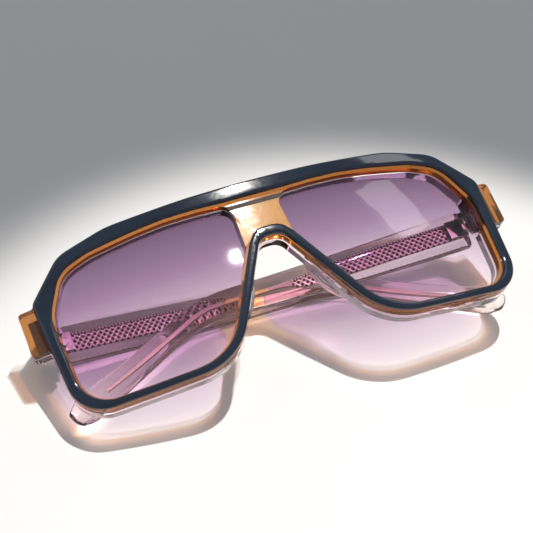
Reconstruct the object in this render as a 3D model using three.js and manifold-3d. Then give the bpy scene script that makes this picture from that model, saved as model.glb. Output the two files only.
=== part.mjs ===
// Navigator-style sunglasses: a three-layer laminated front, two tinted lenses, and two clear
// temples with a knurled metal core. They lie folded on a table, face up, on their own temples.
//
// Front frame: X across, Y up the front, Z out of its face. The front is laid out flat and then
// wrapped round a vertical cylinder. Lengths are millimetres; "right" is +X.

import * as THREE from 'three';
import { mergeVertices } from 'three/addons/utils/BufferGeometryUtils.js';
import Module from 'manifold-3d';

const wasm = await Module();
wasm.setup();

// ---- driving dimensions ----
const WRAP_RADIUS = 265; // face curve of the front
const WRAP_STEPS = 14; // flats round the face curve
const ARC_STEP = THREE.MathUtils.degToRad(18); // turn of one flat on a rounded corner

const NAVY = 1.8; // layer thicknesses, front to back
const AMBER = 2.0;
const CRYSTAL = 3.0;
const GLUE = 0.06; // gap between neighbouring layers
const REVEAL = 0.6; // how far amber and crystal stand in round the lens openings
const SKIN = 0.35; // how far the crystal stands out round the edge
const POCKET_DEPTH = 1.1; // bridge pocket milled below the amber's face

const LENS_RADIUS = 200; // spherical front of a lens
const LENS_THICKNESS = 1.8;
const LENS_DEPTH = 2.8; // crown of the lens behind the face of the front
const LENS_BITE = 0.5; // how far a lens reaches into its groove
const LENS_FIT = 0.08; // clearance in the groove
const LENS_CENTRE = [37, -10];

const PAD_SIZE = [3.4, 9, 5]; // half sizes of a nose pad: across, along, deep
const PAD_CENTRE = [13.6, -15];
const PAD_LEAN = 29; // degrees from upright

const HINGE_X = 64.8; // hinge axis
const HINGE_Y = -6;
const HINGE_Z = -16.6;
const BARREL_RADIUS = 1.5;
const KNUCKLE = 1.8; // height of one of the five knuckles
const KNUCKLE_PITCH = 1.88;
const SCREW_RADIUS = 0.6;
const SCREW_FIT = 0.05;
const PLATE_FIT = 0.08; // clearance round an embedded plate

const ARM_INNER = 4.3; // from the hinge axis to the arm's inner face
const ARM_THICK = 4.3; // at the hinge
const ARM_TIP_THICK = 3.1;
const ARM_STRAIGHT = 40; // length before the inward curve
const ARM_CURVE = 300; // radius of the inward curve
const ARM_END = 134; // tip, behind the hinge axis
const ARM_BEVEL = [3.8, 1.1]; // of the broad faces: along the face, into the thickness
const ARM_MITRE = 0.27; // slope of the butt end, to suit the endpiece
const CORE_THICK = 1.3;
const CORE_FIT = 0.15;

const RIGHT_FOLD = 86.6; // degrees from open; the right temple is folded first
const LEFT_FOLD = 82.7; // the left one lies over it

const REST_TILT = 16.86; // degrees the top of the front is raised
const REST_ROLL = -2.9; // degrees the front leans about its own upright axis
const REST_AT = [-0.616, 6.67, 32.884]; // the front frame's origin over the table

// Corners of the front's right half, from the top centre to the nose: [x, y, radius].
const FRONT_HALF = [
  [20, 17.35, 200], [43.5, 16.6, 24], [58.6, 13.2, 10], [69.9, 1.9, 4],
  [67.9, -34.5, 10.5], [45, -34.95, 200], [22, -34.6, 22], [3.4, -1.05, 4.4],
];
const LENS_OPENING = [
  [6.2, 12.7, 4.5], [27, 13.7, 120], [50.5, 11.2, 15], [59.6, 8.5, 10], [66.4, -4, 16],
  [65.1, -32.3, 9.5], [45, -32.7, 200], [23.8, -32.6, 20.5], [7, -2.1, 3],
];
const BRIDGE_WINDOW = [
  [-9, 12.75, 0.4], [9, 12.75, 0.4], [9, -4, 0.4], [6.6, -1.2, 2], [3.8, 2, 5], [-3.8, 2, 5],
  [-6.6, -1.2, 2], [-9, -4, 0.4],
];
const LUG = [[60, 1.5, 1], [74.4, 1.5, 1], [74.4, -12, 1], [60, -12, 1]];

// Temple side view when open, station by station: the upper and the lower edge, each as
// [distance behind the hinge axis, height over it].
const ARM_STATIONS = [
  [[0.8, 5.7], [0.8, -6.2]], [[14, 5.6], [14, -6.2]], [[28, 5.3], [28, -6]], [[42, 5], [42, -5.7]],
  [[55, 4.6], [55, -5.3]], [[67, 4.2], [66, -5.1]], [[78, 3.6], [76, -5.1]],
  [[86, 2], [83, -5.6]], [[94, -1.4], [90, -7.4]], [[104, -6.6], [99.5, -12]],
  [[115, -12.2], [111, -18.4]], [[125, -17], [121, -24]], [[130.5, -20.4], [126, -26.8]],
  [[133, -23.4], [129.4, -27.6]],
];
const CORE_STATIONS = [
  [[1.5, 2.8], [1.5, -2.6]], [[14, 2.8], [14, -2.6]], [[28, 2.8], [28, -2.6]],
  [[41, 2.7], [41, -2.6]], [[52, 1.4], [52, -2.4]], [[60, 0.6], [60, -0.8]],
  [[70, 0.3], [70, -1]], [[80, -0.1], [80, -1.4]], [[87, -1.5], [86.3, -2.6]],
  [[95, -5.2], [94.4, -6.3]], [[108, -11.9], [107.4, -13]], [[121, -18.4], [120.4, -19.3]],
];

// ---- outlines ----
const mirrored = (corners) => corners.map(([x, y, r]) => [-x, y, r]).reverse();

// Moves every side of a polygon outwards by d, and its corner radii with it.
function grown(corners, d) {
  const count = corners.length;
  const area = corners.reduce((sum, [x, y], i) => {
    const [nx, ny] = corners[(i + 1) % count];
    return sum + x * ny - nx * y;
  }, 0);
  const turn = Math.sign(area);
  return corners.map(([x, y, r], i) => {
    const [px, py] = corners[(i + count - 1) % count];
    const [nx, ny] = corners[(i + 1) % count];
    const a = new THREE.Vector2(x - px, y - py).normalize();
    const b = new THREE.Vector2(nx - x, ny - y).normalize();
    const out = new THREE.Vector2(a.y + b.y, -a.x - b.x).normalize().multiplyScalar(turn);
    const reach = d / out.dot(new THREE.Vector2(a.y * turn, -a.x * turn));
    const convex = a.cross(b) * turn > 0;
    return [x + out.x * reach, y + out.y * reach, Math.max(0.05, convex ? r + d : r - d)];
  });
}

// A closed shape through corners, each rounded by an arc of its own radius.
function rounded(corners) {
  const count = corners.length;
  const points = corners.flatMap(([x, y, r], i) => {
    const p = new THREE.Vector2(x, y);
    const a = new THREE.Vector2(...corners[(i + count - 1) % count]).sub(p);
    const b = new THREE.Vector2(...corners[(i + 1) % count]).sub(p);
    const half = Math.acos(a.dot(b) / (a.length() * b.length())) / 2;
    const reach = Math.min(r / Math.tan(half), a.length() * 0.48, b.length() * 0.48);
    const radius = reach * Math.tan(half);
    a.normalize();
    b.normalize();
    const sweep = Math.sign(b.cross(a)) * (Math.PI - 2 * half);
    const steps = radius < 0.8 ? 2 : Math.max(1, Math.round(Math.abs(sweep) / ARC_STEP));
    const centre = a.clone().add(b).normalize().multiplyScalar(radius / Math.sin(half)).add(p);
    const start = p.clone().addScaledVector(a, reach);
    return Array.from({ length: steps + 1 }, (_, k) => (
      start.clone().rotateAround(centre, (sweep * k) / steps)
    ));
  });
  return new THREE.Shape(points);
}

// ---- solids ----
function solid(geometry) {
  geometry.deleteAttribute('normal');
  geometry.deleteAttribute('uv');
  const merged = mergeVertices(geometry, 1e-4);
  return new wasm.Manifold(new wasm.Mesh({
    numProp: 3,
    vertProperties: Float32Array.from(merged.attributes.position.array),
    triVerts: Uint32Array.from(merged.index.array),
  }));
}

function geometryOf(manifold) {
  const mesh = manifold.getMesh();
  const geometry = new THREE.BufferGeometry();
  geometry.setAttribute('position', new THREE.BufferAttribute(mesh.vertProperties, 3));
  geometry.setIndex(new THREE.BufferAttribute(mesh.triVerts, 1));
  return geometry;
}

const extruded = (shape, low, high) => new THREE.ExtrudeGeometry(shape, {
  depth: high - low, bevelEnabled: false,
}).translate(0, 0, low);

const box = (x, y, z) => solid(new THREE.BoxGeometry(x[1] - x[0], y[1] - y[0], z[1] - z[0])
  .translate((x[0] + x[1]) / 2, (y[0] + y[1]) / 2, (z[0] + z[1]) / 2));

const span = (a, b) => [Math.min(a, b), Math.max(a, b)];

const rod = (radius, low, high, x = 0, z = 0) => solid(
  new THREE.CylinderGeometry(radius, radius, high - low, 14).translate(x, (low + high) / 2, z),
);

// A prism through the front, with walls square to the wrapped face.
function wrappedPrism(corners) {
  const geometry = extruded(rounded(corners), -22, 4);
  const at = geometry.attributes.position;
  for (let i = 0; i < at.count; i++) {
    at.setX(i, (WRAP_RADIUS + at.getZ(i)) * Math.tan(at.getX(i) / WRAP_RADIUS));
  }
  return solid(geometry);
}

// The slice of the wrapped sheet between two depths behind its face.
function sheet(front, back) {
  const half = 88 / WRAP_RADIUS;
  const arc = (radius, from, to) => Array.from({ length: WRAP_STEPS + 1 }, (_, i) => {
    const a = from + ((to - from) * i) / WRAP_STEPS;
    return new THREE.Vector2(radius * Math.sin(a), WRAP_RADIUS - radius * Math.cos(a));
  });
  const section = new THREE.Shape([
    ...arc(WRAP_RADIUS - back, -half, half), ...arc(WRAP_RADIUS - front, half, -half),
  ]);
  return solid(extruded(section, -50, 50).rotateX(-Math.PI / 2));
}

// A lens blank between two depths, trimmed to its opening grown by d.
function lensBlank(sign, opening, d, front, back) {
  const cap = (radius) => {
    const rings = 5;
    const profile = Array.from({ length: rings + 1 }, (_, i) => {
      const a = (i / rings) * 0.23;
      return new THREE.Vector2(radius * Math.sin(a), radius * Math.cos(a));
    });
    const rim = new THREE.Vector2(0, profile[rings].y - 8);
    const skirt = new THREE.Vector2(profile[rings].x, rim.y);
    return new THREE.LatheGeometry([rim, skirt, ...profile.reverse()], 20)
      .rotateX(Math.PI / 2)
      .translate(0, 0, -LENS_RADIUS);
  };
  const turn = LENS_CENTRE[0] / WRAP_RADIUS;
  const place = (geometry) => solid(geometry
    .rotateY(sign * turn)
    .translate(sign * WRAP_RADIUS * Math.sin(turn), LENS_CENTRE[1],
      WRAP_RADIUS * (Math.cos(turn) - 1)));
  const shell = place(cap(LENS_RADIUS - front)).subtract(place(cap(LENS_RADIUS - back)));
  return shell.intersect(wrappedPrism(grown(opening, d)));
}

// A closed bar through rings of corners, with a flat cap at each end.
function loft(rings) {
  const around = rings[0].length;
  const index = [];
  for (let r = 0; r + 1 < rings.length; r++) {
    for (let i = 0; i < around; i++) {
      const a = r * around + i;
      const b = r * around + ((i + 1) % around);
      index.push(a, b, b + around, a, b + around, a + around);
    }
  }
  const last = (rings.length - 1) * around;
  for (let i = 1; i + 1 < around; i++) {
    index.push(0, i + 1, i, last, last + i, last + i + 1);
  }
  const geometry = new THREE.BufferGeometry();
  geometry.setAttribute('position', new THREE.Float32BufferAttribute(rings.flat(2), 3));
  geometry.setIndex(index);
  return solid(geometry);
}

// A temple bar: stations given thickness, their broad faces bevelled, bent inwards over the ear.
function bar(sign, stations, thickness, tipThickness, [inset, depth], grow = 0) {
  const rings = stations.map(([[topX, topY], [lowX, lowY]]) => {
    const top = new THREE.Vector2(topX, topY);
    const low = new THREE.Vector2(lowX, lowY);
    const length = top.distanceTo(low);
    const share = THREE.MathUtils.clamp(topX / ARM_END, 0, 1);
    const half = THREE.MathUtils.lerp(thickness, tipThickness, share) / 2 + grow;
    const t = Math.min(inset / length, 0.38);
    const g = grow / length;
    const side = [[-g, half - depth], [t, half], [1 - t, half], [1 + g, half - depth]];
    const section = [...side, ...side.map(([at, across]) => [at, -across]).reverse()];
    return section.map(([at, across]) => {
      const p = top.clone().lerp(low, at);
      const past = Math.max(0, p.x - ARM_STRAIGHT);
      const drop = ARM_CURVE - Math.sqrt(ARM_CURVE ** 2 - past ** 2);
      const mitre = p.x < 1 ? ARM_MITRE * across * sign : 0;
      return [sign * (ARM_INNER + ARM_THICK / 2 - drop) + across, p.y, -p.x - mitre];
    });
  });
  return loft(rings);
}

// ---- materials ----
const look = (color, roughness, metalness = 0, opacity = 1) => new THREE.MeshStandardMaterial({
  color, roughness, metalness, opacity, transparent: opacity < 1,
});
const NAVY_ACETATE = look(0x1b2537, 0.12);
const AMBER_ACETATE = look(0xc98a45, 0.15);
const CRYSTAL_ACETATE = look(0xe6ddd3, 0.1, 0, 0.5);
const LENS_TINT = look(0x7d5f80, 0.05, 0, 0.6);
const HINGE_STEEL = look(0x6b5f58, 0.3, 0.9);
const CORE_METAL = look(0x9a6f66, 0.35, 0.9);

function part(parent, name, shape, material) {
  const mesh = new THREE.Mesh(geometryOf(shape), material);
  mesh.name = name;
  parent.add(mesh);
}

// ---- the front ----
const glasses = new THREE.Group();
const amberFront = NAVY + GLUE;
const crystalFront = amberFront + AMBER + GLUE;
const crystalBack = crystalFront + CRYSTAL;
const rimOutline = [...FRONT_HALF, ...mirrored(FRONT_HALF)];
const sides = [
  { word: 'right', sign: 1, opening: LENS_OPENING, lug: LUG, fold: RIGHT_FOLD },
  { word: 'left', sign: -1, opening: mirrored(LENS_OPENING), lug: mirrored(LUG), fold: LEFT_FOLD },
];

let navy = sheet(0, NAVY).intersect(wrappedPrism(rimOutline))
  .subtract(wrappedPrism(BRIDGE_WINDOW));
let amberPlan = wrappedPrism(rimOutline);
let crystalPlan = wrappedPrism(grown(rimOutline, SKIN));
for (const side of sides) {
  navy = navy.subtract(wrappedPrism(side.opening));
  amberPlan = amberPlan.add(wrappedPrism(side.lug))
    .subtract(wrappedPrism(grown(side.opening, -REVEAL)));
  crystalPlan = crystalPlan.add(wrappedPrism(grown(side.lug, SKIN)))
    .subtract(wrappedPrism(grown(side.opening, -REVEAL)));
}
const pocket = sheet(0, amberFront + POCKET_DEPTH)
  .intersect(wrappedPrism(grown(BRIDGE_WINDOW, -0.35)));
let amber = sheet(amberFront, amberFront + AMBER).intersect(amberPlan).subtract(pocket);
let crystal = sheet(crystalFront, crystalBack).intersect(crystalPlan);

for (const { word, sign, opening } of sides) {
  const groove = lensBlank(sign, opening, LENS_FIT + LENS_BITE - REVEAL,
    LENS_DEPTH - LENS_FIT, LENS_DEPTH + LENS_THICKNESS + LENS_FIT);
  amber = amber.subtract(groove);
  crystal = crystal.subtract(groove);
  part(glasses, `lens_${word}`, lensBlank(sign, opening, LENS_BITE - REVEAL,
    LENS_DEPTH, LENS_DEPTH + LENS_THICKNESS), LENS_TINT);

  const ball = new THREE.SphereGeometry(1, 12, 8)
    .scale(...PAD_SIZE)
    .rotateZ(sign * THREE.MathUtils.degToRad(PAD_LEAN))
    .translate(sign * PAD_CENTRE[0], PAD_CENTRE[1], -crystalBack);
  const pad = solid(ball).intersect(sheet(crystalBack + 0.1, 16))
    .subtract(wrappedPrism(grown(opening, -REVEAL)));
  part(glasses, `nose_pad_${word}`, pad, CRYSTAL_ACETATE);
}

// ---- hinges: three knuckles on the front, two on each temple, one screw ----
const knuckle = (index) => [(index - 0.5) * KNUCKLE_PITCH + (KNUCKLE_PITCH - KNUCKLE) / 2,
  (index + 0.5) * KNUCKLE_PITCH - (KNUCKLE_PITCH - KNUCKLE) / 2];
const bore = rod(SCREW_RADIUS + SCREW_FIT, -12, 12);
const plateTurn = Math.asin(67.1 / (WRAP_RADIUS - crystalBack));

// The plate sunk in the back of the crystal, grown by d and carried out backwards by back.
const frontPlate = (sign, d, back) => solid(
  new THREE.BoxGeometry(6 + 2 * d, 10 + 2 * d, 1.4 + d + back)
    .translate(0, HINGE_Y, WRAP_RADIUS - crystalBack + 0.9 + (d - back) / 2)
    .rotateY(sign * plateTurn)
    .translate(0, 0, -WRAP_RADIUS),
);
// The plate sunk in the inner face of the arm, grown by d.
const armPlate = (sign, d) => box(span(sign * (ARM_INNER - 0.5 - d), sign * (ARM_INNER + 0.6 + d)),
  [-2.8 - d, 2.8 + d], [-6.2 - d, -1.6 + d]);

for (const { word, sign, fold } of sides) {
  let fixed = frontPlate(sign, 0, 0);
  for (const index of [-2, 0, 2]) {
    const [low, high] = knuckle(index);
    const barrel = rod(BARREL_RADIUS, low, high)
      .add(box(span(-sign * 0.2, sign * BARREL_RADIUS), [low, high], [0, 2.4]))
      .subtract(bore);
    const placed = solid(geometryOf(barrel).translate(sign * HINGE_X, HINGE_Y, HINGE_Z));
    fixed = fixed.add(placed);
  }
  crystal = crystal.subtract(frontPlate(sign, PLATE_FIT, 2));
  part(glasses, `hinge_front_${word}`, fixed, HINGE_STEEL);

  const bottom = knuckle(-2)[0];
  const top = knuckle(2)[1];
  const screw = new THREE.Group();
  screw.position.set(sign * HINGE_X, HINGE_Y, HINGE_Z);
  part(screw, `hinge_screw_${word}`, rod(SCREW_RADIUS, bottom - 0.2, top + 0.1)
    .add(rod(1.15, top + 0.05, top + 0.65)), HINGE_STEEL);
  glasses.add(screw);

  const temple = new THREE.Group();
  temple.position.set(sign * HINGE_X, HINGE_Y, HINGE_Z);
  temple.rotation.y = sign * THREE.MathUtils.degToRad(fold);
  glasses.add(temple);

  let leaf = armPlate(sign, 0);
  for (const index of [-1, 1]) {
    const [low, high] = knuckle(index);
    leaf = leaf.add(rod(BARREL_RADIUS, low, high)
      .add(box(span(0, sign * ARM_INNER), [low, high], [-3, -0.4]))
      .subtract(bore));
  }
  part(temple, `hinge_temple_${word}`, leaf, HINGE_STEEL);

  const [start, ...others] = CORE_STATIONS;
  const slotStations = [start.map(([, y]) => [-4, y]), ...others];
  const arm = bar(sign, ARM_STATIONS, ARM_THICK, ARM_TIP_THICK, ARM_BEVEL)
    .subtract(bar(sign, slotStations, CORE_THICK, CORE_THICK, [0.4, 0], CORE_FIT))
    .subtract(armPlate(sign, PLATE_FIT));
  part(temple, `temple_arm_${word}`, arm, CRYSTAL_ACETATE);
  part(temple, `temple_core_${word}`, bar(sign, CORE_STATIONS, CORE_THICK, CORE_THICK, [0.4, 0]),
    CORE_METAL);
}
part(glasses, 'front_navy_layer', navy, NAVY_ACETATE);
part(glasses, 'front_amber_layer', amber, AMBER_ACETATE);
part(glasses, 'front_crystal_layer', crystal, CRYSTAL_ACETATE);

glasses.rotation.set(THREE.MathUtils.degToRad(REST_TILT), THREE.MathUtils.degToRad(REST_ROLL), 0);
glasses.position.set(...REST_AT);

const group = new THREE.Group();
group.add(glasses);
export default group;
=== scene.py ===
# %% [markdown]
# # Folded navigator sunglasses
# The glasses lie folded on a pale table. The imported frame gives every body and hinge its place, so
# this lesson only makes the surfaces: polished acetate, tinted lenses and a knurled metal core.

# %% Load the frame
import math

import bpy
from mathutils import Matrix, Vector


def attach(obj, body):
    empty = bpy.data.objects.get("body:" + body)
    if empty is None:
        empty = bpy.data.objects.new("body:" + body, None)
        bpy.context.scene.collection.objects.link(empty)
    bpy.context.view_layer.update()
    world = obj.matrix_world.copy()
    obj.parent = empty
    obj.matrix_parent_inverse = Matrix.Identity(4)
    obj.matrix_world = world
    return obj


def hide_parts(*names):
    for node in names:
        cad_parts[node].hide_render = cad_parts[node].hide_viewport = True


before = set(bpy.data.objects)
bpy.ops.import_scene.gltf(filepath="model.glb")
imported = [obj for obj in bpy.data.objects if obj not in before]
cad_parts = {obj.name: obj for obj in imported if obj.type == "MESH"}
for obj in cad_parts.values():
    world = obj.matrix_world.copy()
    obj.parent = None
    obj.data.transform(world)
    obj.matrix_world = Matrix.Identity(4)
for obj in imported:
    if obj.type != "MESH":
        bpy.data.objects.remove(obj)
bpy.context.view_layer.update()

MM = 0.001

# %% [markdown]
# ## The rest pose
# The front is drawn flat: u runs across it, v up it, and depth goes back from its face. It is then
# wrapped round a tall cylinder, tilted, and set down. Writing the pose as one matrix means that every
# piece can be drawn upright and still land in its place.

# %% The rest pose and the hinges
WRAP_RADIUS = 265 * MM
REST = (Matrix.Translation(Vector((-0.616, 6.67, 32.884)) * MM)
        @ Matrix.Rotation(math.radians(16.86), 4, "X") @ Matrix.Rotation(math.radians(-2.9), 4, "Y"))
HINGE = Vector((64.8, -6, -16.6)) * MM
FOLD = {"right": 86.6, "left": 82.7}
SIGN = {"right": 1, "left": -1}


def wrapped(u, v, depth):
    """A point of the front, in the frame of the table."""
    reach = WRAP_RADIUS - depth
    turn = u / WRAP_RADIUS
    return REST @ Vector((reach * math.sin(turn), v, reach * math.cos(turn) - WRAP_RADIUS))


def temple_place(side):
    """The matrix from an open temple, drawn about its hinge, to the folded one."""
    hinge = Matrix.Translation((SIGN[side] * HINGE.x, HINGE.y, HINGE.z))
    return REST @ hinge @ Matrix.Rotation(SIGN[side] * math.radians(FOLD[side]), 4, "Y")


print("right hinge at", [round(c / MM, 2) for c in temple_place("right").translation])

# %% [markdown]
# ## The camera first
# A long lens a little left of the glasses and well above them gives the three-quarter view.

# %% Camera
camera_data = bpy.data.cameras.new("camera")
camera_data.sensor_width = 36
camera_data.lens = 118.2
camera_data.clip_start = 0.01
camera = bpy.data.objects.new("camera", camera_data)
bpy.context.scene.collection.objects.link(camera)
camera.matrix_world = Matrix((
    (0.909524, 0.237930, -0.340816, -0.170896),
    (-0.408941, 0.658972, -0.631287, -0.308929),
    (0.074386, 0.713544, 0.696650, 0.366849),
    (0, 0, 0, 1)))
bpy.context.scene.camera = camera

# %% [markdown]
# ## Outlines
# Acetate fronts are cut from sheet along straight runs joined by arcs. So an outline is kept as its
# few corners, each with a radius, and the arcs are worked out when they are needed.

# %% Corners of the front, in millimetres: across, up, radius
FRONT_HALF = [
    (20, 17.35, 200), (43.5, 16.6, 24), (58.6, 13.2, 10), (69.9, 1.9, 4),
    (67.9, -34.5, 10.5), (45, -34.95, 200), (22, -34.6, 22), (3.4, -1.05, 4.4)]
LUGGED_HALF = [
    (20, 17.35, 200), (43.5, 16.6, 24), (58.6, 13.2, 10), (70.2, 1.55, 0.5), (74.4, 1.5, 1),
    (74.4, -12, 1), (69.2, -12, 0.5), (67.9, -34.5, 10.5), (45, -34.95, 200), (22, -34.6, 22),
    (3.4, -1.05, 4.4)]
LENS_OPENING = [
    (6.2, 12.7, 4.5), (27, 13.7, 120), (50.5, 11.2, 15), (59.6, 8.5, 10), (66.4, -4, 16),
    (65.1, -32.3, 9.5), (45, -32.7, 200), (23.8, -32.6, 20.5), (7, -2.1, 3)]
NAVY_HALF_OPENING = [
    (8, 12.75, 40), (27, 13.7, 120), (50.5, 11.2, 15), (59.6, 8.5, 10), (66.4, -4, 16),
    (65.1, -32.3, 9.5), (45, -32.7, 200), (23.8, -32.6, 20.5), (6.9, -1.9, 1.5), (3.8, 2, 5)]
POCKET = [
    (-9, 12.4, 0.2), (9, 12.4, 0.2), (9, -3, 0.2), (6.5, -0.8, 2), (3.7, 2.35, 5), (-3.7, 2.35, 5),
    (-6.5, -0.8, 2), (-9, -3, 0.2)]


def mirrored(corners):
    return [(-x, y, r) for x, y, r in reversed(corners)]


def both_halves(corners):
    return corners + mirrored(corners)


def grown(corners, distance):
    """The same outline with every side moved outwards."""
    count = len(corners)
    area = sum(corners[i][0] * corners[(i + 1) % count][1] - corners[(i + 1) % count][0] * corners[i][1]
               for i in range(count))
    turn = math.copysign(1, area)
    moved = []
    for i, (x, y, r) in enumerate(corners):
        px, py, _ = corners[i - 1]
        nx, ny, _ = corners[(i + 1) % count]
        a = Vector((x - px, y - py)).normalized()
        b = Vector((nx - x, ny - y)).normalized()
        out = Vector((a.y + b.y, -a.x - b.x)).normalized() * turn
        reach = distance / out.dot(Vector((a.y, -a.x)) * turn)
        convex = (a.x * b.y - a.y * b.x) * turn > 0
        moved.append((x + out.x * reach, y + out.y * reach,
                      max(0.05, r + distance if convex else r - distance)))
    return moved


def rounded(corners, turn=6.0, steps=None):
    """Points round the outline, each corner an arc drawn in steps of turn degrees."""
    points = []
    count = len(corners)
    for i, (x, y, r) in enumerate(corners):
        p = Vector((x, y))
        a = Vector(corners[i - 1][:2]) - p
        b = Vector(corners[(i + 1) % count][:2]) - p
        half = a.angle(b) / 2
        reach = min(r / math.tan(half), a.length * 0.48, b.length * 0.48)
        radius = reach * math.tan(half)
        a.normalize()
        b.normalize()
        sweep = math.copysign(math.pi - 2 * half, b.x * a.y - b.y * a.x)
        centre = p + (a + b).normalized() * radius / math.sin(half)
        start = p + a * reach - centre
        bends = steps or max(2, round(math.degrees(abs(sweep)) / turn))
        for k in range(bends + 1):
            spin = Matrix.Rotation(sweep * k / bends, 2)
            points.append(centre + spin @ start)
    return points


print("points round the front", len(rounded(both_halves(FRONT_HALF))))

# %% [markdown]
# ## From an outline to a plate
# In the workshop a plate is sawn out, then its edges are tumbled until they are round. Here a circle is
# laid along each outline, the circles are filled and extruded, and a Bevel modifier does the tumbling.
# The plate is then cut into narrow strips, because only a cut surface can follow a curve.


# %% Helpers for the plates
def only(piece):
    bpy.ops.object.select_all(action="DESELECT")
    piece.select_set(True)
    bpy.context.view_layer.objects.active = piece


def apply_modifier(piece, kind, **settings):
    only(piece)
    modifier = piece.modifiers.new(kind.title(), kind)
    for name, value in settings.items():
        setattr(modifier, name, value)
    bpy.ops.object.modifier_apply(modifier=modifier.name)


def laid_loop(name, points):
    bpy.ops.object.select_all(action="DESELECT")
    bpy.ops.mesh.primitive_circle_add(vertices=len(points), radius=0.05)
    loop = bpy.context.object
    loop.name = name
    for vertex, point in zip(loop.data.vertices, points):
        vertex.co = (point.x * MM, point.y * MM, 0)
    return loop


def flat_plate(name, outlines, thickness):
    """A plate with its back at z = 0; the first outline is the outside, the others are holes."""
    loops = [laid_loop(name, points) for points in outlines]
    only(loops[0])
    for loop in loops[1:]:
        loop.select_set(True)
    if len(loops) > 1:
        bpy.ops.object.join()
    plate = bpy.context.object
    plate.name = plate.data.name = name
    bpy.ops.object.mode_set(mode="EDIT")
    bpy.ops.mesh.select_all(action="SELECT")
    bpy.ops.mesh.fill(use_beauty=True)
    bpy.ops.mesh.select_all(action="SELECT")
    bpy.ops.mesh.extrude_region_move(TRANSFORM_OT_translate={"value": (0, 0, thickness)})
    bpy.ops.mesh.select_all(action="SELECT")
    bpy.ops.mesh.normals_make_consistent(inside=False)
    bpy.ops.object.mode_set(mode="OBJECT")
    return plate


def cut_into_strips(plate, normal, low, high, pitch):
    only(plate)
    bpy.ops.object.mode_set(mode="EDIT")
    count = max(1, round((high - low) / pitch))
    for k in range(1, count):
        bpy.ops.mesh.select_all(action="SELECT")
        at = low + (high - low) * k / count
        bpy.ops.mesh.bisect(plane_co=Vector(normal) * at, plane_no=normal)
    bpy.ops.object.mode_set(mode="OBJECT")


def bend_to(plate, place):
    for vertex in plate.data.vertices:
        vertex.co = place(vertex.co)
    plate.data.update()


def polish(piece, angle=35):
    """Smooth shading with the broad faces kept flat by weighted normals."""
    only(piece)
    bpy.ops.object.shade_smooth_by_angle(angle=math.radians(angle))
    apply_modifier(piece, "WEIGHTED_NORMAL", keep_sharp=True, weight=60)


def finished(piece, body, slot, *nodes):
    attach(piece, body)
    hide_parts(*nodes)
    print(piece.name, len(piece.data.polygons), "faces")


# %% [markdown]
# ## Materials: acetate
# Cellulose acetate is a glossy plastic with its colour all through. The navy sheet is nearly opaque and
# a little cloudy. The amber and the clear sheets pass light, and their colour deepens with thickness.
# Lamps are let through them as tinted light, which is what makes the warm glow on the table.


# %% Material helpers
def new_material(name):
    material = bpy.data.materials.new(name)
    material.use_nodes = True
    nodes = material.node_tree.nodes
    return material, nodes, material.node_tree.links, nodes["Principled BSDF"], nodes["Material Output"]


def set_stops(ramp, stops):
    elements = ramp.color_ramp.elements
    while len(elements) < len(stops):
        elements.new(0.5)
    for element, (at, colour) in zip(elements, stops):
        element.position = at
        element.color = (*colour, 1)


def cloudy_colour(nodes, links, scale, stops):
    """A soft procedural mottling between colours, fixed to the piece."""
    where = nodes.new("ShaderNodeTexCoord")
    noise = nodes.new("ShaderNodeTexNoise")
    noise.inputs["Scale"].default_value = scale
    noise.inputs["Detail"].default_value = 3
    ramp = nodes.new("ShaderNodeValToRGB")
    set_stops(ramp, stops)
    links.new(where.outputs["Object"], noise.inputs["Vector"])
    links.new(noise.outputs["Fac"], ramp.inputs["Fac"])
    return ramp


def polish_marks(nodes, links, shader, low, high, scale=900):
    """Fine hand-polishing marks: roughness that wavers a little."""
    where = nodes.new("ShaderNodeTexCoord")
    noise = nodes.new("ShaderNodeTexNoise")
    noise.inputs["Scale"].default_value = scale
    spread = nodes.new("ShaderNodeMapRange")
    spread.inputs["To Min"].default_value = low
    spread.inputs["To Max"].default_value = high
    links.new(where.outputs["Object"], noise.inputs["Vector"])
    links.new(noise.outputs["Fac"], spread.inputs["Value"])
    links.new(spread.outputs["Result"], shader.inputs["Roughness"])


def dyed_through(nodes, links, output, colour, density):
    """Colour that deepens with the thickness of the piece."""
    dye = nodes.new("ShaderNodeVolumeAbsorption")
    dye.inputs["Color"].default_value = (*colour, 1)
    dye.inputs["Density"].default_value = density
    links.new(dye.outputs["Volume"], output.inputs["Volume"])


def lets_lamps_through(nodes, links, shader, output, colour):
    """Lamps pass the piece as tinted light; everything else sees the shader."""
    path = nodes.new("ShaderNodeLightPath")
    clear = nodes.new("ShaderNodeBsdfTransparent")
    clear.inputs["Color"].default_value = (*colour, 1)
    mix = nodes.new("ShaderNodeMixShader")
    links.new(path.outputs["Is Shadow Ray"], mix.inputs["Fac"])
    links.new(shader.outputs["BSDF"], mix.inputs[1])
    links.new(clear.outputs["BSDF"], mix.inputs[2])
    links.new(mix.outputs["Shader"], output.inputs["Surface"])


# %% Navy, amber and clear acetate
navy, nodes, links, shader, output = new_material("navy acetate")
ramp = cloudy_colour(nodes, links, 60, [(0.35, (0.006, 0.013, 0.028)), (0.7, (0.010, 0.020, 0.042))])
links.new(ramp.outputs["Color"], shader.inputs["Base Color"])
shader.inputs["IOR"].default_value = 1.5
shader.inputs["Coat Weight"].default_value = 0.6
shader.inputs["Coat Roughness"].default_value = 0.03
polish_marks(nodes, links, shader, 0.05, 0.10)

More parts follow.
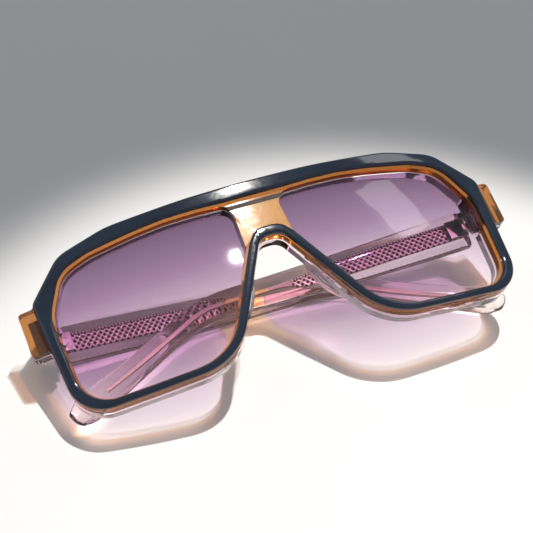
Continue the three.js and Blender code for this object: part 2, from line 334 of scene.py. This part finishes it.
amber, nodes, links, shader, output = new_material("amber acetate")
ramp = cloudy_colour(nodes, links, 90, [(0.3, (0.95, 0.69, 0.38)), (0.75, (1.0, 0.77, 0.49))])
links.new(ramp.outputs["Color"], shader.inputs["Base Color"])
shader.inputs["IOR"].default_value = 1.49
shader.inputs["Transmission Weight"].default_value = 0.95
polish_marks(nodes, links, shader, 0.04, 0.10)
lets_lamps_through(nodes, links, shader, output, (0.82, 0.78, 0.74))
dyed_through(nodes, links, output, (0.76, 0.47, 0.08), 950)

# Painted shade: the pocket's slope faces down under the top bar, so it gets an opaque dark brown in place
# of amber.
pocket_slope_shade, nodes, links, shader, output = new_material("painted shade on the pocket slope")
ramp = cloudy_colour(nodes, links, 200, [(0.3, (0.26, 0.20, 0.17)), (0.75, (0.40, 0.34, 0.31))])
links.new(ramp.outputs["Color"], shader.inputs["Base Color"])
polish_marks(nodes, links, shader, 0.12, 0.25)

crystal, nodes, links, shader, output = new_material("clear acetate")
ramp = cloudy_colour(nodes, links, 40, [(0.3, (0.95, 0.90, 0.88)), (0.75, (0.98, 0.94, 0.92))])
links.new(ramp.outputs["Color"], shader.inputs["Base Color"])
shader.inputs["IOR"].default_value = 1.49
shader.inputs["Transmission Weight"].default_value = 1.0
polish_marks(nodes, links, shader, 0.0, 0.05)
lets_lamps_through(nodes, links, shader, output, (0.83, 0.82, 0.81))
dyed_through(nodes, links, output, (0.96, 0.88, 0.86), 60)

# %% [markdown]
# ## The front, layer by layer
# Three sheets are laminated: navy in front, amber in the middle, clear behind. The navy has one wide
# opening, because its bridge window joins the two lens openings. The other two stand in a little, which
# shows as the thin amber line round each lens.

# %% Layer sizes
NAVY, AMBER, CRYSTAL, GLUE = 1.8 * MM, 2.0 * MM, 3.0 * MM, 0.06 * MM
REVEAL, SKIN = 0.6, 0.35
POCKET_DEPTH = 1.1 * MM
STRIP = 2.4 * MM
HALF_FRONT = 76 * MM
NAVY_EDGE, AMBER_EDGE, CLEAR_EDGE = 0.8 * MM, 0.2 * MM, 0.6 * MM
amber_face = NAVY + GLUE
crystal_face = amber_face + AMBER + GLUE
lens_openings = {"right": LENS_OPENING, "left": mirrored(LENS_OPENING)}


def wrap_plate(plate, thickness, face):
    """Cuts a flat plate into strips and wraps it with its front at a depth of face."""
    cut_into_strips(plate, (1, 0, 0), -HALF_FRONT, HALF_FRONT, STRIP)
    bend_to(plate, lambda p: wrapped(p.x, p.y, face + thickness - p.z))


# %% The navy layer
navy_opening = NAVY_HALF_OPENING + mirrored(NAVY_HALF_OPENING)
navy_layer = flat_plate("navy_layer", [rounded(both_halves(FRONT_HALF)), rounded(navy_opening)], NAVY)
apply_modifier(navy_layer, "BEVEL", width=NAVY_EDGE, segments=5, limit_method="ANGLE",
               angle_limit=math.radians(60), use_clamp_overlap=False)
wrap_plate(navy_layer, NAVY, 0)
polish(navy_layer)
navy_layer.data.materials.append(navy)
finished(navy_layer, "front", "navy_acetate", "front_navy_layer")

# %% [markdown]
# ## The bridge pocket
# Below the top bar the amber is milled away in a shallow pocket whose upper wall is a slope. The cutter
# is a plate of the pocket's outline with the foot of its top edge pulled down.

# %% The amber layer
SLOPE_FOOT, SLOPE_LOW, SLOPE_HIGH, POCKET_HALF = 10.7 * MM, 10.5, 12.5, 9 * MM
lens_holes = [rounded(grown(opening, -REVEAL)) for opening in lens_openings.values()]
amber_layer = flat_plate("amber_layer", [rounded(both_halves(LUGGED_HALF)), *lens_holes], AMBER)
cutter = flat_plate("pocket_cutter", [rounded(POCKET)], 2 * POCKET_DEPTH)
for vertex in cutter.data.vertices:
    foot = vertex.co.z < POCKET_DEPTH / 2
    if foot and vertex.co.y > 12 * MM:
        vertex.co.y = SLOPE_FOOT
    vertex.co.z += AMBER - POCKET_DEPTH
apply_modifier(amber_layer, "BOOLEAN", object=cutter, operation="DIFFERENCE", solver="EXACT")
bpy.data.objects.remove(cutter)
amber_layer.data.materials.append(amber)
amber_layer.data.materials.append(pocket_slope_shade)
# Painted shade: the slope faces that point downwards take the dark second material.
for face in amber_layer.data.polygons:
    on_slope = SLOPE_LOW < face.center.y / MM < SLOPE_HIGH and face.normal.y < -0.2 and face.normal.z > 0.2
    if on_slope and abs(face.center.x) < POCKET_HALF:
        face.material_index = 1
apply_modifier(amber_layer, "BEVEL", width=AMBER_EDGE, segments=3, limit_method="ANGLE",
               angle_limit=math.radians(60), use_clamp_overlap=True)
wrap_plate(amber_layer, AMBER, amber_face)
polish(amber_layer)
finished(amber_layer, "front", "amber_acetate", "front_amber_layer")

# %% The clear layer
clear_layer = flat_plate("clear_layer", [rounded(grown(both_halves(LUGGED_HALF), SKIN)), *lens_holes],
                         CRYSTAL)
apply_modifier(clear_layer, "BEVEL", width=CLEAR_EDGE, segments=4, limit_method="ANGLE",
               angle_limit=math.radians(60), use_clamp_overlap=True)
wrap_plate(clear_layer, CRYSTAL, crystal_face)
polish(clear_layer)
clear_layer.data.materials.append(crystal)
finished(clear_layer, "front", "crystal_acetate", "front_crystal_layer")

# %% [markdown]
# ## Lenses
# A lens is a slice of a sphere. The flat lens shape is cut into strips both ways, and each point then
# slides along the wall of its opening until it meets the sphere.

# %% Lens surfaces
LENS_RADIUS, LENS_THICKNESS, LENS_DEPTH = 200 * MM, 1.8 * MM, 2.8 * MM
LENS_TURN = 37 * MM / WRAP_RADIUS
LENS_HEIGHT = -10 * MM
LENS_FOOT, LENS_TOP = -34 * MM, 14 * MM


def onto_sphere(side, u, v, depth):
    offset = WRAP_RADIUS - LENS_RADIUS
    centre = Vector((SIGN[side] * offset * math.sin(LENS_TURN), LENS_HEIGHT,
                     offset * math.cos(LENS_TURN) - WRAP_RADIUS))
    along = Vector((math.sin(u / WRAP_RADIUS), 0, math.cos(u / WRAP_RADIUS)))
    start = Vector((0, v, -WRAP_RADIUS)) - centre
    b = start.dot(along)
    reach = -b + math.sqrt(b * b - start.length_squared + (LENS_RADIUS - depth) ** 2)
    return REST @ (Vector((0, v, -WRAP_RADIUS)) + along * reach)


# %% [markdown]
# ## Lens tint
# The plastic is dipped so that the plum dye is strong at the top and fades towards the cheek. Height up
# the front is measured along its own upright axis, so the fade stays put when the camera moves.

# %% Tinted lens material
tint, nodes, links, shader, output = new_material("graded plum lens")
upright = (REST.to_3x3() @ Vector((0, 1, 0))).normalized()
where = nodes.new("ShaderNodeTexCoord")
height = nodes.new("ShaderNodeVectorMath")
height.operation = "DOT_PRODUCT"
height.inputs[1].default_value = upright
level = nodes.new("ShaderNodeMapRange")
middle = upright.dot(REST.translation)
level.inputs["From Min"].default_value = middle - 34 * MM
level.inputs["From Max"].default_value = middle + 13 * MM
fade = nodes.new("ShaderNodeValToRGB")
FADE = [(0.0, (0.97, 0.94, 0.97)), (0.3, (0.90, 0.82, 0.90)), (0.7, (0.61, 0.48, 0.62)),
        (1.0, (0.44, 0.34, 0.45))]
set_stops(fade, FADE)
dyed = nodes.new("ShaderNodeBsdfTransparent")
gloss = nodes.new("ShaderNodeBsdfGlossy")
gloss.inputs["Roughness"].default_value = 0.03
gloss.inputs["Color"].default_value = (1, 1, 1, 1)
edge = nodes.new("ShaderNodeLayerWeight")
edge.inputs["Blend"].default_value = 0.5
steep = nodes.new("ShaderNodeMath")
steep.operation = "POWER"
steep.inputs[1].default_value = 4.0
mirror = nodes.new("ShaderNodeMapRange")
mirror.inputs["To Min"].default_value = 0.05
mirror.inputs["To Max"].default_value = 0.9
mix = nodes.new("ShaderNodeMixShader")
nodes.remove(shader)
links.new(where.outputs["Object"], height.inputs[0])
links.new(height.outputs["Value"], level.inputs["Value"])
links.new(level.outputs["Result"], fade.inputs["Fac"])
links.new(fade.outputs["Color"], dyed.inputs["Color"])
links.new(edge.outputs["Facing"], steep.inputs[0])
links.new(steep.outputs["Value"], mirror.inputs["Value"])
links.new(mirror.outputs["Result"], mix.inputs["Fac"])
links.new(dyed.outputs["BSDF"], mix.inputs[1])
links.new(gloss.outputs["BSDF"], mix.inputs[2])
links.new(mix.outputs["Shader"], output.inputs["Surface"])

# %% The two lenses
for side, opening in lens_openings.items():
    lens = flat_plate(f"lens_{side}_tinted", [rounded(grown(opening, -REVEAL - 0.02))], LENS_THICKNESS)
    apply_modifier(lens, "BEVEL", width=0.2 * MM, segments=2, limit_method="ANGLE",
                   angle_limit=math.radians(60), use_clamp_overlap=False)
    cut_into_strips(lens, (1, 0, 0), -68 * MM, 68 * MM, 2 * MM)
    cut_into_strips(lens, (0, 1, 0), LENS_FOOT, LENS_TOP, STRIP)
    bend_to(lens, lambda p: onto_sphere(side, p.x, p.y, LENS_DEPTH + LENS_THICKNESS - p.z))
    polish(lens)
    lens.data.materials.append(tint)
    finished(lens, "front", "lens_tint", f"lens_{side}")

# %% [markdown]
# ## Nose pads
# Each pad is a blob of clear acetate glued behind the rim and sanded into it: half an egg, sliced flat
# where it meets the back of the front and again along the lens opening.

# %% Nose pads
PAD_HALF = (3.4 * MM, 9 * MM, 5 * MM)
PAD_AT = (13.6 * MM, -15 * MM)
PAD_LEAN = 29
PAD_INSET = 0.7
rim_foot, rim_top = LENS_OPENING[7], LENS_OPENING[8]
pad_back = crystal_face + CRYSTAL
for side, sign in SIGN.items():
    bpy.ops.object.select_all(action="DESELECT")
    bpy.ops.mesh.primitive_uv_sphere_add(segments=64, ring_count=40, radius=1)
    pad = bpy.context.object
    pad.name = pad.data.name = f"nose_pad_{side}_clear"
    lean = Matrix.Rotation(sign * math.radians(PAD_LEAN), 4, "Z") @ Matrix.Diagonal((*PAD_HALF, 1))
    pad.data.transform(Matrix.Translation((sign * PAD_AT[0], PAD_AT[1], 0)) @ lean)
    bpy.ops.object.mode_set(mode="EDIT")
    slope = Vector((rim_foot[0] - rim_top[0], rim_foot[1] - rim_top[1], 0)).normalized()
    wall = Vector((sign * -slope.y, slope.x, 0))
    wall_at = Vector((sign * (rim_top[0] - PAD_INSET), rim_top[1], 0)) * MM
    for at, normal in (((0, 0, -0.12 * MM), (0, 0, 1)), (wall_at, wall)):
        bpy.ops.mesh.select_all(action="SELECT")
        bpy.ops.mesh.bisect(plane_co=at, plane_no=normal, use_fill=True, clear_outer=True)
    bpy.ops.mesh.select_all(action="SELECT")
    bpy.ops.mesh.normals_make_consistent(inside=False)
    bpy.ops.object.mode_set(mode="OBJECT")
    bend_to(pad, lambda p: wrapped(p.x, p.y, pad_back - p.z))
    polish(pad, 50)
    pad.data.materials.append(crystal)
    finished(pad, "front", "crystal_acetate", f"nose_pad_{side}")

# %% [markdown]
# ## Temples
# A temple starts as a straight bar, is shaped in side view, and is bent over the ear while warm. It is
# made from a grid rolled into a tube: every row of the grid becomes one cross section. The sections
# follow the upper and lower edges of the side view.

# %% Temple stations, in millimetres: upper and lower edge, each behind the hinge and over it
ARM_STATIONS = [
    ((0.8, 5.7), (0.8, -6.2)), ((14, 5.6), (14, -6.2)), ((28, 5.3), (28, -6)), ((42, 5), (42, -5.7)),
    ((55, 4.6), (55, -5.3)), ((67, 4.2), (66, -5.1)), ((78, 3.6), (76, -5.1)),
    ((86, 2), (83, -5.6)), ((94, -1.4), (90, -7.4)), ((104, -6.6), (99.5, -12)),
    ((115, -12.2), (111, -18.4)), ((125, -17), (121, -24)), ((130.5, -20.4), (126, -26.8)),
    ((132.6, -23), (129, -27.2))]
CORE_STATIONS = [
    ((1.5, 2.8), (1.5, -2.6)), ((14, 2.8), (14, -2.6)), ((28, 2.8), (28, -2.6)),
    ((41, 2.7), (41, -2.6)), ((52, 1.4), (52, -2.4)), ((60, 0.6), (60, -0.8)),
    ((70, 0.3), (70, -1)), ((80, -0.1), (80, -1.4)), ((87, -1.5), (86.3, -2.6)),
    ((95, -5.2), (94.4, -6.3)), ((108, -11.9), (107.4, -13)), ((121, -18.4), (120.4, -19.3))]
ARM_INNER, ARM_THICK, ARM_TIP_THICK = 4.3, 4.3, 3.1
ARM_STRAIGHT, ARM_CURVE, ARM_END = 40, 300, 134
ARM_BEVEL = (3.8, 1.1)
ARM_MITRE = 0.27
CORE_THICK = 1.3
ARM_PITCH, TIP_ROUND = 2.0, 1.3


def stretched(stations, pitch):
    """Stations spaced by pitch along smooth curves through the given ones."""
    flat = [Vector((*upper, *lower)) for upper, lower in stations]
    spaced = []
    for i in range(len(flat) - 1):
        p0, p1, p2, p3 = flat[max(i - 1, 0)], flat[i], flat[i + 1], flat[min(i + 2, len(flat) - 1)]
        count = max(1, round((p2 - p1).xy.length / pitch(p1.x)))
        for k in range(count):
            t = k / count
            at = 0.5 * (2 * p1 + (p2 - p0) * t + (2 * p0 - 5 * p1 + 4 * p2 - p3) * t ** 2
                        + (3 * p1 - p0 - 3 * p2 + p3) * t ** 3)
            spaced.append((at.xy, at.zw))
    return spaced + [(flat[-1].xy, flat[-1].zw)]


def temple_point(side, p, across):
    """A point of the temple in the table's frame, from its side view and its place across the bar."""
    past = max(0.0, p.x - ARM_STRAIGHT)
    drop = ARM_CURVE - math.sqrt(ARM_CURVE ** 2 - past ** 2)
    mitre = ARM_MITRE * across * SIGN[side] if p.x < 1.4 else 0
    x = SIGN[side] * (ARM_INNER + ARM_THICK / 2 - drop) + across
    return temple_place(side) @ (Vector((x, p.y, -p.x - mitre)) * MM)


def rolled_grid(name, rings, values=None):
    """A closed bar whose cross sections are the given rings of points."""
    around = len(rings[0])
    bpy.ops.object.select_all(action="DESELECT")
    bpy.ops.mesh.primitive_grid_add(x_subdivisions=around, y_subdivisions=len(rings) - 1, size=0.1)
    bar = bpy.context.object
    bar.name = bar.data.name = name
    if values:
        relief = bar.data.attributes.new("relief", "FLOAT", "POINT")
    for i, vertex in enumerate(bar.data.vertices):
        row, column = divmod(i, around + 1)
        vertex.co = rings[row][column % around]
        if values:
            relief.data[i].value = values[row][column % around]
    bpy.ops.object.mode_set(mode="EDIT")
    bpy.ops.mesh.select_all(action="SELECT")
    bpy.ops.mesh.remove_doubles(threshold=1e-7)
    bpy.ops.mesh.select_all(action="SELECT")
    bpy.ops.mesh.fill_holes(sides=0)
    bpy.ops.mesh.select_all(action="SELECT")
    bpy.ops.mesh.normals_make_consistent(inside=False)
    bpy.ops.object.mode_set(mode="OBJECT")
    return bar


# %% The clear temple bars
def arm_rings(side):
    rings = []
    stations = stretched(ARM_STATIONS, lambda s: ARM_PITCH)
    ends = [(0, 0.93, 0), (0, 1, 0.25)] + [(i, 1, 0) for i in range(1, len(stations))]
    ends += [(len(stations) - 1, math.cos(math.radians(a)), TIP_ROUND * math.sin(math.radians(a)))
             for a in (20, 40, 58, 74)]
    for i, scale, ahead in ends:
        upper, lower = stations[i]
        length = (upper - lower).length
        share = min(max(upper.x / ARM_END, 0), 1)
        half = (ARM_THICK + (ARM_TIP_THICK - ARM_THICK) * share) / 2
        inset = min(ARM_BEVEL[0], 0.38 * length)
        depth = ARM_BEVEL[1]
        flank = [(0, half - depth, 0.7), (inset, half, 4), (length - inset, half, 4),
                 (length, half - depth, 0.7)]
        section = rounded(flank + [(x, -y, r) for x, y, r in reversed(flank)], steps=4)
        down = (lower - upper) / length
        forward = Vector((-down.y, down.x)) * ahead
        ring = []
        for q in section:
            at = upper + down * (length / 2 + (q.x - length / 2) * scale) + forward
            ring.append(temple_point(side, at, q.y * scale))
        rings.append(ring)
    return rings


for side in SIGN:
    arm = rolled_grid(f"temple_bar_{side}", arm_rings(side))
    polish(arm, 40)
    arm.data.materials.append(crystal)
    finished(arm, f"temple_{side}", "crystal_acetate", f"temple_arm_{side}")

# %% [markdown]
# ## The knurled cores
# The strip inside each temple is rose-coloured metal, rolled with a net of small diamond hollows under
# one row of beads, and drawn out to a wire behind the ear. The pattern is real relief: between two
# crossing sets of ridges the metal is pressed in. Its colour follows the same relief, with painted
# shade in the hollows and painted highlights on the tops.

# %% Relief of the strip
DIAMOND, BEAD, RELIEF = 1.8, 1.0, 0.26
PLAIN_WIDTH, BEAD_ROW, BEAD_MIDDLE, BEAD_HALF = 2.2, 0.95, 0.48, 0.5
NET_HEIGHT, RIDGE_EDGE, RIDGE_FALL = 0.72, 0.28, 0.35


def ridge(x):
    return 1 - 2 * abs(x - math.floor(x) - 0.5)


def strip_relief(along, down, width):
    """Height of the rolled pattern, from 0 to 1, at a place along the strip and below its edge."""
    if width < PLAIN_WIDTH:
        return 0.5
    if down < BEAD_ROW:
        x = (along / BEAD) % 1 * 2 - 1
        y = (down - BEAD_MIDDLE) / BEAD_HALF
        return math.sqrt(max(0.0, 1 - x * x - y * y))
    hollow = min(ridge((along + down) / DIAMOND), ridge((along - down) / DIAMOND))
    return NET_HEIGHT * (1 - min(1.0, max(0.0, (hollow - RIDGE_EDGE) / RIDGE_FALL)))


# %% Rose metal, with painted shade in the hollows and painted highlights on the tops
rose, nodes, links, shader, output = new_material("rose metal with painted shade and highlights")
relief = nodes.new("ShaderNodeAttribute")
relief.attribute_name = "relief"
ramp = nodes.new("ShaderNodeValToRGB")
# Painted shade and painted highlights: the colour follows the relief height, near black in the hollows and
# near white on the bead and ridge tops; only the middle stop is the metal's own rose colour.
set_stops(ramp, [(0.12, (0.09, 0.045, 0.042)), (0.6, (0.62, 0.45, 0.40)), (0.95, (1.0, 0.93, 0.89))])
links.new(relief.outputs["Fac"], ramp.inputs["Fac"])
links.new(ramp.outputs["Color"], shader.inputs["Base Color"])
shader.inputs["Metallic"].default_value = 0.7
polish_marks(nodes, links, shader, 0.25, 0.4, 1500)


# %% The cores
NET_PITCH, NET_END, WIRE_PITCH = 0.22, 59, 1.5
EDGE_WIDTH, EDGE_SHARE = 0.2, 0.4


def core_rings(side):
    rings, values = [], []
    across_count = 26
    for upper, lower in stretched(CORE_STATIONS, lambda s: NET_PITCH if s < NET_END else WIRE_PITCH):
        length = (upper - lower).length
        down = (lower - upper) / length
        ring, heights = [], []
        for face in (1, -1):
            for k in range(across_count):
                q = length * (k if face > 0 else across_count - 1 - k) / (across_count - 1)
                high = strip_relief(upper.x, q, length)
                edge_fall = min(1, q / EDGE_WIDTH + EDGE_SHARE, (length - q) / EDGE_WIDTH + EDGE_SHARE)
                across = face * (CORE_THICK / 2 - RELIEF * (1 - high)) * edge_fall
                ring.append(temple_point(side, upper + down * q, across))
                heights.append(high)
        rings.append(ring)
        values.append(heights)
    return rings, values


for side in SIGN:
    rings, values = core_rings(side)
    core = rolled_grid(f"temple_strip_{side}", rings, values)
    only(core)
    bpy.ops.object.shade_smooth_by_angle(angle=math.radians(50))
    core.data.materials.append(rose)
    finished(core, f"temple_{side}", "core_metal", f"temple_core_{side}")

# %% [markdown]
# ## Hinge metal
# The hinges keep the frame's own shapes and only get a finish: satin metal, slightly worn brighter.

# %% Hinge finish
satin, nodes, links, shader, output = new_material("satin hinge metal")
ramp = cloudy_colour(nodes, links, 700, [(0.3, (0.16, 0.13, 0.12)), (0.75, (0.34, 0.29, 0.26))])
links.new(ramp.outputs["Color"], shader.inputs["Base Color"])
shader.inputs["Metallic"].default_value = 1.0
polish_marks(nodes, links, shader, 0.22, 0.38, 1200)
for name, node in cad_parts.items():
    if name.startswith("hinge"):
        node.data.materials.clear()
        node.data.materials.append(satin)

# %% [markdown]
# ## Table and light
# One strong lamp, high up and a little behind the glasses, throws the shadows forwards. It only reaches
# the near part of the table, as light through a window does. A pale sky and a soft side panel fill in
# the rest, and a small panel is there to be seen as the bright patch in the right lens.

# %% Table
bpy.ops.object.select_all(action="DESELECT")
bpy.ops.mesh.primitive_plane_add(size=6, location=(0, 0, -0.0002))
table = bpy.context.object
table.name = "table_top"
paint, nodes, links, shader, output = new_material("white table")
ramp = cloudy_colour(nodes, links, 5, [(0.3, (0.80, 0.80, 0.80)), (0.75, (0.84, 0.84, 0.835))])
links.new(ramp.outputs["Color"], shader.inputs["Base Color"])
shader.inputs["Roughness"].default_value = 0.55
table.data.materials.append(paint)

# %% Lamps
TO_LAMP = Vector((0.22, 0.26, 1)).normalized()
LAMP_DISTANCE, POOL_RADIUS = 1.6, 0.15
POOL = Vector((0.0, -0.068, 0))
lamp_data = bpy.data.lights.new("window light", "SPOT")
lamp_data.energy = 95
lamp_data.color = (1.0, 0.97, 0.92)
lamp_data.shadow_soft_size = 0.012
lamp_data.spot_size = 2 * math.atan(POOL_RADIUS / LAMP_DISTANCE)
lamp_data.spot_blend = 0.35
lamp = bpy.data.objects.new("window light", lamp_data)
bpy.context.scene.collection.objects.link(lamp)
lamp.location = POOL + TO_LAMP * LAMP_DISTANCE
lamp.rotation_euler = TO_LAMP.to_track_quat("Z", "Y").to_euler()


def soft_panel(name, place, width, height, energy):
    data = bpy.data.lights.new(name, "AREA")
    data.shape = "RECTANGLE"
    data.size, data.size_y, data.energy = width, height, energy
    panel = bpy.data.objects.new(name, data)
    bpy.context.scene.collection.objects.link(panel)
    panel.location = place
    panel.rotation_euler = Vector(place).to_track_quat("Z", "Y").to_euler()


soft_panel("side panel", (-0.7, 0.5, 0.8), 0.9, 0.9, 1.0)
soft_panel("window", (0.385, 0.165, 0.498), 0.14, 0.09, 0.085)

world = bpy.data.worlds.new("pale sky")
world.use_nodes = True
world.node_tree.nodes["Background"].inputs["Color"].default_value = (0.66, 0.68, 0.72, 1)
world.node_tree.nodes["Background"].inputs["Strength"].default_value = 0.40
bpy.context.scene.world = world
bpy.context.scene.view_settings.view_transform = "Standard"
